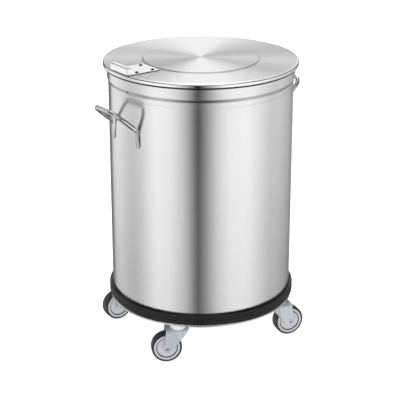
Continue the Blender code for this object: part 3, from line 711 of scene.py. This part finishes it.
def tyreShape():
    # flat sides, rounded shoulders, and a tread that falls off as the square of the way from its middle
    face, outer, inner = wheel["face"], tyre["outer"], tyre["inner"]
    shoulder = roundedLine([(inner, 0), (inner, face), (outer - tyre["crown"], face), (outer, 0)],
                           tyre["rounds"], tyre["steps"])
    tread = np.linspace(0, 1, tyre["treadPoints"])[1:-1, None]
    crown = shoulder[-2] + (shoulder[-1] - shoulder[-2]) * tread
    half = face - tyre["shoulder"]
    crown[:, 0] = outer - tyre["crown"] * (crown[:, 1] / half) ** 2 * tyre["crownShare"]
    section = mirroredHalf(np.vstack([shoulder[:-1], crown, shoulder[-1:]]))
    return carried(turnedShape(section, tyre["sides"]), onAxle)


balls = dict(count=8, radius=0.003, circle=0.0115, rows=13, sides=20, cageHalf=0.0009, cageWidth=0.0022,
             cageRound=0.0003, cageSteps=3, cageSides=64)
cup = dict(sheet=0.0016, shoulder=0.0022, waist=0.0165, belly=0.0045,
           rounds=[0.0002, 0.0012, 0.0012, 0.006, 0.0006, 0.0006, 0.001, 0.0003], steps=8, sides=96)


def cupShape():
    # a rounded housing from the plate down: short shoulder, belly that narrows to the waist, race inside
    low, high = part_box("castor_1_cup")
    bore = kingpin["radius"] + kingpin["run"]
    radius = (high.x - low.x) / 2
    inside = cup["waist"] - cup["sheet"]
    raceUnder = crownTop + 2 * balls["radius"] + 2 * kingpin["gap"]
    middle = (raceUnder + high.z) / 2
    bellyTop = high.z - cup["shoulder"]
    line = [(bore, middle), (bore, high.z), (radius - cup["shoulder"], high.z), (radius, bellyTop),
            (radius, bellyTop - cup["belly"]), (cup["waist"], low.z), (inside, low.z), (inside, raceUnder),
            (bore, raceUnder), (bore, middle)]
    return turnedLine(line, cup)


def kingpinShape():
    # a tube through the crown with a flange below it
    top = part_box("castor_1_kingpin")[1].z
    bore, radius, flange = kingpin["bore"], kingpin["radius"], kingpin["flange"]
    flangeTop = crownUnder - kingpin["gap"]
    flangeLow = flangeTop - kingpin["flangeHeight"]
    line = [(bore, flangeTop), (bore, top), (radius, top), (radius, flangeTop), (flange, flangeTop),
            (flange, flangeLow), (bore, flangeLow), (bore, flangeTop)]
    return turnedLine(line, kingpin)


sleeve = dict(bore=0.0034, radius=0.0050, half=0.01265, rounds=[0.0002, 0.0003, 0.0003, 0.0002], steps=3,
              sides=48)


def sleeveShape():
    # a plain tube with eased ends
    bore, radius, half = sleeve["bore"], sleeve["radius"], sleeve["half"]
    line = [(bore, 0), (bore, half), (radius, half), (radius, -half), (bore, -half), (bore, 0)]
    return carried(turnedLine(line, sleeve), onAxle)


bolt = dict(radius=0.004, width=0.013, headHeight=0.0052, chamfer=30.0, chamferCut=0.07, headEdge=0.0002,
            headEase=0.98, tip=0.0008, nutBore=0.0044, sides=96)
hexHalf, hexSlope = bolt["width"] / 2, math.tan(math.radians(bolt["chamfer"]))
hexFace, hexLift = hexHalf * (1 - bolt["chamferCut"]), hexHalf * bolt["chamferCut"] * hexSlope


def hexGrid(rows):
    # rows of radius, height, share of a hexagon and slope: the radius grows by 1 / cos of the turn from the
    # nearest flat; a chamfer lifts the corners by the slope times what stands out of the circle
    rows = np.asarray(rows, float)
    turn = fullTurn(bolt["sides"])
    offFlat = (turn + math.pi / 6) % (math.pi / 3) - math.pi / 6
    corner = 1 / np.cos(offFlat) - 1
    radius = rows[:, 0, None] * (1 + corner * rows[:, 2, None])
    height = rows[:, 1, None] + rows[:, 0, None] * corner * rows[:, 3, None]
    return together(radius * np.cos(turn), radius * np.sin(turn), height)


def boltShape():
    # a hexagon head with a chamfer below, and a plain shank up to its eased tip
    head = crownUnder - 2 * kingpin["gap"] - kingpin["flangeHeight"]
    foot = head - bolt["headHeight"]
    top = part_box("castor_1_bolt")[1].z
    radius, tip = bolt["radius"], bolt["tip"]
    grid = hexGrid([(hexFace, foot, 0, 0), (hexHalf, foot + hexLift, 1, hexSlope),
                    (hexHalf, head - bolt["headEdge"], 1, 0), (hexHalf * bolt["headEase"], head, 1, 0),
                    (radius, head, 0, 0), (radius, top - tip, 0, 0), (radius - tip, top, 0, 0)])
    return dict(grid=grid, loop=False, ends=np.array([(0, 0, foot), (0, 0, top)]))


def nutShape():
    # a hexagon with a chamfer at both faces and a plain bore
    low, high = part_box("castor_1_nut")
    bore = bolt["nutBore"]
    grid = hexGrid([(bore, low.z, 0, 0), (hexFace, low.z, 0, 0), (hexHalf, low.z + hexLift, 1, hexSlope),
                    (hexHalf, high.z - hexLift, 1, -hexSlope), (hexFace, high.z, 0, 0), (bore, high.z, 0, 0)])
    return dict(grid=grid, loop=True, ends=None)


def ballMesh(name, place):
    # eight spheres (longitude and latitude) on a circle, and the flat cage ring they sit in
    level = crownTop + kingpin["gap"] + balls["radius"]
    latitude = np.linspace(-math.pi / 2, math.pi / 2, balls["rows"])[1:-1]
    profile = together(balls["radius"] * np.cos(latitude), balls["radius"] * np.sin(latitude))
    profile = np.vstack([[(0, -balls["radius"])], profile, [(0, balls["radius"])]])
    middle, tall = balls["circle"], balls["cageHalf"]
    inner, outer = middle - balls["cageWidth"], middle + balls["cageWidth"]
    ring = roundedLine([(middle, tall), (outer, tall), (outer, -tall), (inner, -tall), (inner, tall),
                        (middle, tall)], [balls["cageRound"]] * 4, balls["cageSteps"])[:-1]
    shapes = [carried(turnedShape(ring, balls["cageSides"]), lambda points: place(points + (0, 0, level)))]
    for turn in fullTurn(balls["count"]):
        spot = (middle * math.cos(turn), middle * math.sin(turn), level)
        shapes.append(carried(turnedShape(profile, balls["sides"]), lambda points: place(points + spot)))
    holders = [newObject("part", skin(name, shape)) for shape in shapes]
    with bpy.context.temp_override(active_object=holders[0], selected_editable_objects=holders):
        bpy.ops.object.join()
    mesh = holders[0].data
    bpy.data.objects.remove(holders[0])
    return mesh


def placedCopy(mesh, place):
    # a copy of a mesh with every point carried to its place
    copy = mesh.copy()
    points = np.empty(len(copy.vertices) * 3, np.float32)
    copy.vertices.foreach_get("co", points)
    copy.vertices.foreach_set("co", place(points.reshape(-1, 3).astype(float)).astype(np.float32).ravel())
    copy.update()
    return copy


forkSheet = forkMesh()
axleForm, starPaintedShade = axleShape()
wheelForm, groovePaintedShade = wheelShape()
castorShapes = {
    # the housing's near-white zinc is a painted highlight
    "cup": (cupShape(), "brightHousingZinc", "zinc_steel", "container"),
    "kingpin": (kingpinShape(), "zincPlate", "zinc_steel", "container"),
    "bolt": (boltShape(), "zincPlate", "zinc_steel", "container"),
    "nut": (nutShape(), "zincPlate", "zinc_steel", "container"),
    "axle": (axleForm, "zincPlate", "zinc_steel", "swivel"),
    "sleeve": (sleeveShape(), "zincPlate", "zinc_steel", "swivel"),
    "wheel": (wheelForm, "greyWheelPlastic", "wheel_plastic", "roller"),
    "tyre": (tyreShape(), "darkTyreRubber", "tyre_rubber", "roller"),
}
# grooves and staked stars get painted shade: a dark finish on their recessed faces
paintedShadeFaces = {"wheel": groovePaintedShade, "axle": starPaintedShade}
for number, name in enumerate(castorNames, start=1):
    place = castorPlace(name)
    for part, (shape, finish, slot, body) in castorShapes.items():
        owner = body if body == "container" else name + body
        title = "castor%d%s" % (number, part.capitalize())
        piece = addPiece(title, carried(shape, place), finish, owner, slot, name + part)
        if part in paintedShadeFaces:
            piece.data.materials.append(finishes["darkGroovePlastic"])
            faces = np.pad(paintedShadeFaces[part], (0, len(piece.data.polygons) - len(paintedShadeFaces[part])))
            piece.data.polygons.foreach_set("material_index", faces)
    title = "castor%d" % number
    addPiece(title + "Fork", placedCopy(forkSheet, place), "zincPlate", name + "swivel", "zinc_steel",
             name + "fork")
    addPiece(title + "Balls", ballMesh(title + "Balls", place), "bearingSteel", name + "swivel",
             "bearing_steel", name + "balls")
bpy.data.meshes.remove(forkSheet)
print("castors made")


# Camera, floor and studio

camera = dict(azimuth=-35.9, distance=2.60, height=1.267, pitch=20.57, focalPixels=1308.0, imageWidth=400.0,
              sensor=36.0, shiftX=-0.00225)
turn = math.radians(camera["azimuth"])
lensData = bpy.data.cameras.new("photoCamera")
lensData.sensor_width = camera["sensor"]
lensData.lens = camera["focalPixels"] / camera["imageWidth"] * camera["sensor"]
lensData.shift_x = camera["shiftX"]
photoCamera = newObject("photoCamera", lensData)
photoCamera.location = (math.sin(turn) * camera["distance"], -math.cos(turn) * camera["distance"],
                        camera["height"])
photoCamera.rotation_euler = (math.radians(90 - camera["pitch"]), 0.0, turn)
bpy.context.scene.camera = photoCamera

floorLook = dict(reach=45.0, sockets={"Base Color": (0.93, 0.93, 0.93, 1), "Roughness": 1.0,
                                      "Specular IOR Level": 0.0, "Emission Color": (1, 1, 1, 1),
                                      "Emission Strength": 0.86})
floorMesh = bpy.data.meshes.new("floor")
reach = floorLook["reach"]
floorMesh.from_pydata([(-reach, -reach, 0), (reach, -reach, 0), (reach, reach, 0), (-reach, reach, 0)], [],
                      [(0, 1, 2, 3)])
floor = newObject("floor", floorMesh)
floorPaint = bpy.data.materials.new("paleFloor")
floorPaint.use_nodes = True
setSockets(floorPaint.node_tree, floorPaint.node_tree.nodes["Principled BSDF"], floorLook["sockets"])
floorMesh.materials.append(floorPaint)
floor.visible_glossy = False

# a broad soft lamp over the camera for the dull pieces; bright metal doesn't mirror it
fill = dict(turnRight=-28.0, lift=22.0, distance=3.2, size=2.4, power=12.0)
lampData = bpy.data.lights.new("fillLamp", "AREA")
lampData.size = fill["size"]
lampData.energy = fill["power"]
lamp = newObject("fillLamp", lampData)
lampTurn = turn + math.radians(fill["turnRight"])
lampLift = math.radians(fill["lift"])
lampOut = fill["distance"] * math.cos(lampLift)
lamp.location = (lampOut * math.sin(lampTurn), -lampOut * math.cos(lampTurn),
                 fill["distance"] * math.sin(lampLift))
lamp.rotation_euler = (math.pi / 2 - lampLift, 0.0, lampTurn)
lamp.visible_glossy = False
lamp.visible_camera = False

# the light tent, with stops of degrees and level; pairs give where a smooth step starts and ends
tent = dict(
    # how bright it is from low directions by the turn from the camera, left and right
    lowLeft=[(3.3, 0.21), (6, 0.35), (9, 0.53), (14, 0.77), (20, 1.04), (28, 1.23), (38, 1.44), (58, 1.54),
             (68, 1.37), (80, 1.08), (95, 0.94), (110, 1.07), (124, 1.20), (142, 1.05), (147, 0.70),
             (152, 0.20), (180, 0.08)],
    lowRight=[(0, 0.38), (4, 0.52), (9, 0.72), (14, 0.93), (20, 1.15), (28, 1.35), (38, 1.50), (58, 1.55),
              (68, 1.46), (80, 1.26), (95, 1.02), (115, 0.95), (142, 0.62), (158, 0.38)],
    # it darkens towards the floor by elevation, in front and at its sides, and more so in front of the drum
    fall=[(-90, 0.05), (-62, 0.07), (-54, 0.25), (-46, 0.47), (-32, 0.53), (-25, 0.69), (-21, 0.94),
          (-16, 1.0)],
    sideFall=[(-90, 0.05), (-66, 0.07), (-56, 0.40), (-46, 0.68), (-32, 0.52), (-25, 0.50), (-21, 0.78),
              (-16, 0.98)],
    side=(45.0, 115.0), footDip=[(0, 0.85), (14, 0.84), (24, 0.45), (33, 0.39), (45, 0.10), (55, 0.0)],
    footDipEnds=(-44.0, -31.0),
    # a dark line in front near the horizon
    dip=[(0, 0.99), (2.5, 0.94), (4.5, 0.66), (9, 0.40), (15, 0.26), (25, 0.06), (30, 0.0)],
    dipTurn=-3.3, dipEnds=(-21.5, -15.0),
    # where the tent ends above the floor: the turn away from the camera and the elevation
    foot=[(0, -52), (75, -51), (95, -48), (110, -41), (125, -37), (135, -32), (147, -26), (180, -16)],
    footEnds=(-4.0, 4.0), footTurn=(10.0, 60.0), footLevel=(0.05, 0.22),
    # above the horizon, by the turn from the side opposite the panel
    upper=[(0, 0.06), (70, 0.08), (100, 0.24), (130, 0.34), (159, 0.34), (167, 1.0), (180, 1.0)],
    upperEnds=(-11.0, 0.0), horizon=0.12, horizonEnds=(2.0, 13.0), zenith=0.60, zenithEnds=(62.0, 76.0),
    # a broad light above the camera, which only the rods and edges mirror
    key=dict(level=1.0, at=0.0, half=48.0, soft=15.0, low=20.0, high=56.0, rise=10.0),
    # a strip low on the left for the rod of the handle
    strip=dict(level=0.95, at=-115.0, half=13.0, soft=5.0, low=2.0, high=30.0, rise=5.0),
    # a panel high at the back, which the spun lid smears into bright fans
    panel=dict(level=2.7, at=175.0, half=25.0, soft=5.7, low=34.3, high=70.0, rise=7.0))
world = bpy.data.worlds.new("studio")
bpy.context.scene.world = world
world.use_nodes = True
tree = world.node_tree
tree.nodes.clear()


def times(first, *others):
    # the product of all values
    for other in others:
        first = calc(tree, "MULTIPLY", first, other)
    return first


def blend(share, first, second):
    # first where the share is nought, second where it is one
    return calc(tree, "ADD", times(first, calc(tree, "SUBTRACT", 1.0, share)), times(second, share))


def smoothStep(value, low, high, toLow=0.0, toHigh=1.0):
    return remap(tree, value, low, high, toLow, toHigh, "SMOOTHSTEP")


def levelRamp(value, stops):
    # grey levels between stops of place and level, both from nought to one
    ramp = addNode(tree, "ValToRGB", {"Fac": value})
    elements = ramp.color_ramp.elements
    for number, (spot, level) in enumerate(stops):
        element = elements[number] if number < 2 else elements.new(spot)
        element.position = spot
        element.color = (level, level, level, 1)
    return ramp.outputs["Color"]


def halfTurnRamp(share, stops):
    # a ramp over half a turn, with its stops in degrees
    return levelRamp(share, [(spot / 180, level) for spot, level in stops])


direction = addNode(tree, "TexCoord").outputs["Generated"]
upness = addNode(tree, "SeparateXYZ", {0: direction}).outputs[2]
lift = times(calc(tree, "ARCSINE", upness), 180 / math.pi)


def turnFrom(degrees):
    # a direction's turn from a given one: the arctangent of its sideways and its forward share
    spot = turn + math.radians(degrees)
    forward = (math.sin(spot), -math.cos(spot), 0)
    sideways = (math.cos(spot), math.sin(spot), 0)
    shares = [addNode(tree, "VectorMath", {0: direction, 1: axis}, operation="DOT_PRODUCT").outputs["Value"]
              for axis in (sideways, forward)]
    return times(calc(tree, "ARCTAN2", *shares), 180 / math.pi)


def turnOff(degrees):
    # the same without its sign
    return calc(tree, "ABSOLUTE", turnFrom(degrees))


def dipped(off, name, reach):
    # what a dip leaves: one less its depth at that turn times how far the elevation lies in it
    depth = halfTurnRamp(calc(tree, "DIVIDE", off, 180.0), tent[name])
    return calc(tree, "SUBTRACT", 1.0, times(depth, reach))


def withPanel(light, level, at, half, soft, low, high, rise):
    # a panel's level inside it and the light outside, with soft edges in turn and elevation
    side = smoothStep(turnOff(at), half - soft, half + soft, 1.0, 0.0)
    foot = smoothStep(lift, low, low + rise)
    head = smoothStep(lift, high - rise, high, 1.0, 0.0)
    return blend(times(side, times(foot, head)), light, level)


away = turnOff(0.0)
stops = [(0.5 - degrees / 360, level) for degrees, level in tent["lowLeft"][::-1]]
stops += [(0.5 + degrees / 360, level) for degrees, level in tent["lowRight"]]
stops += [(1.0, tent["lowLeft"][-1][1])]
lowLevel = levelRamp(remap(tree, turnFrom(0.0), -180.0, 180.0, 0.0, 1.0), stops)
below = remap(tree, lift, -90.0, 0.0, 0.0, 1.0)
falls = [levelRamp(below, [(1 + spot / 90, level) for spot, level in tent[name]])
         for name in ("fall", "sideFall")]
fall = blend(smoothStep(away, *tent["side"]), *falls)
kept = times(dipped(turnOff(tent["dipTurn"]), "dip", smoothStep(lift, *tent["dipEnds"])),
             dipped(away, "footDip", smoothStep(lift, *tent["footDipEnds"], 1.0, 0.0)))
footEdge = halfTurnRamp(calc(tree, "DIVIDE", away, 180.0),
                        [(spot, -level / 90) for spot, level in tent["foot"]])
footShare = smoothStep(calc(tree, "ADD", lift, times(footEdge, 90.0)), *tent["footEnds"])
footLight = smoothStep(away, *tent["footTurn"], *tent["footLevel"])
lowLight = blend(footShare, footLight, times(lowLevel, fall, kept))
offPanel = calc(tree, "DIVIDE", turnOff(tent["panel"]["at"]), 180.0)
upperLevel = halfTurnRamp(calc(tree, "SUBTRACT", 1.0, offPanel), tent["upper"])
upperLight = blend(smoothStep(lift, *tent["horizonEnds"]), tent["horizon"], upperLevel)
upperLight = blend(smoothStep(lift, *tent["zenithEnds"]), upperLight, tent["zenith"])
for name in ("key", "strip"):
    upperLight = withPanel(upperLight, **tent[name])
allLight = blend(smoothStep(lift, *tent["upperEnds"]), lowLight, upperLight)
studio = addNode(tree, "Background", {"Color": withPanel(allLight, **tent["panel"]), "Strength": 1.0})
backdrop = addNode(tree, "Background", {"Color": (1, 1, 1, 1), "Strength": 1.0})
seen = addNode(tree, "LightPath").outputs["Is Camera Ray"]
either = addNode(tree, "MixShader", {0: seen, 1: studio.outputs[0], 2: backdrop.outputs[0]})
addNode(tree, "OutputWorld", {"Surface": either.outputs[0]})
bpy.context.scene.view_settings.view_transform = "Standard"
print("camera, floor and studio ready")
